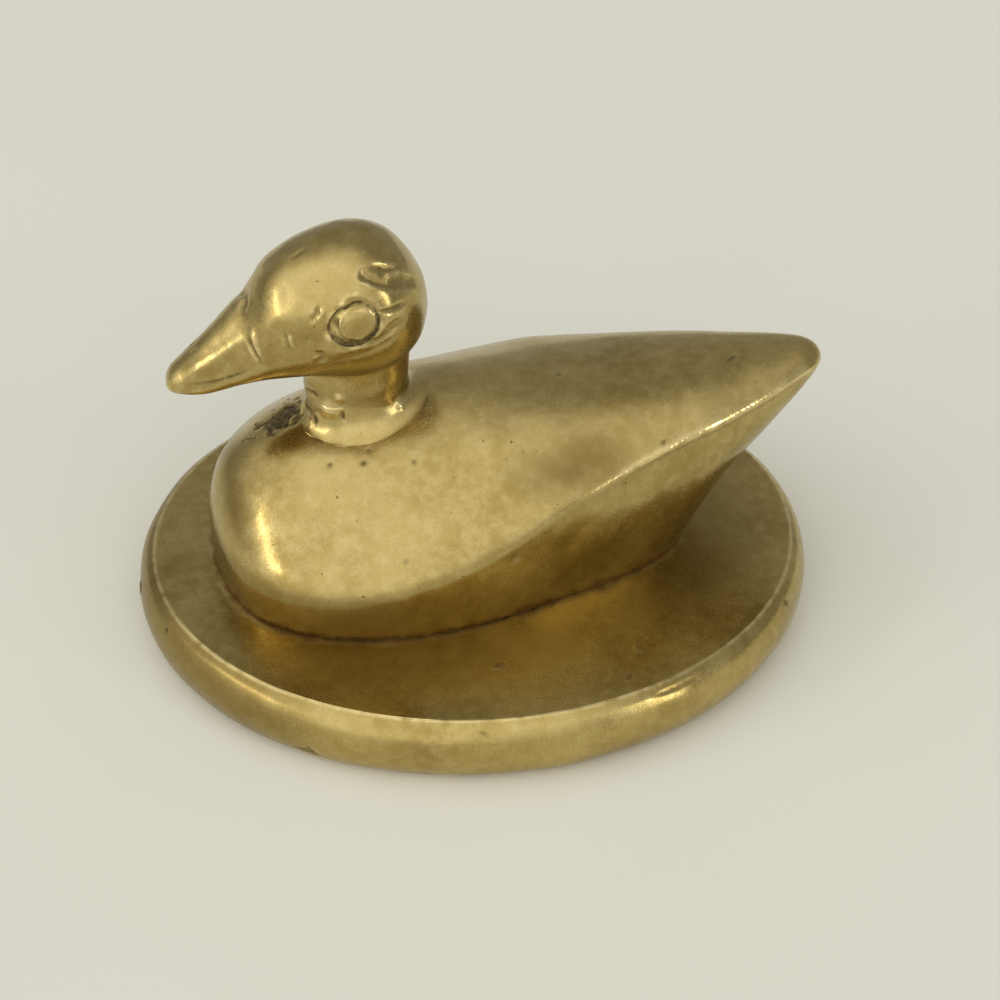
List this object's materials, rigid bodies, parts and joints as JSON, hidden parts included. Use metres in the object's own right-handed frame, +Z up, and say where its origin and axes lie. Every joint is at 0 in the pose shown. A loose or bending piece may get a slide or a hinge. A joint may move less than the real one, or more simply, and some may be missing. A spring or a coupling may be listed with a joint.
{
  "type": "duck paperweight",
  "caption": "Cast brass duck sitting on a bulged-rim oval brass base, used as a paperweight or shelf ornament, with a felt pad underneath.",
  "frame": {"origin": "on the table, under the centre of the oval base", "axes": "+Z up, -X the way the duck faces, -Y its left side, which the picture shows"},
  "size_m": [0.08, 0.0688, 0.05],
  "materials": {
    "duck_brass": "satin aged cast brass with small pits and darker hollows",
    "base_brass": "satin aged brass, darker on the flat top and worn bright on the rim",
    "braze": "rough bead with dark cracks",
    "steel": "plain steel",
    "felt": "matt green felt"
  },
  "bodies": {
    "root": {"base_plate": "base_brass", "body_casting": "duck_brass", "head_casting": "duck_brass", "neck_braze": "braze", "neck_dowel": "steel", "fixing_screws": "steel", "screw_washers": "steel", "felt_pad": "felt"}
  },
  "joints": []
}
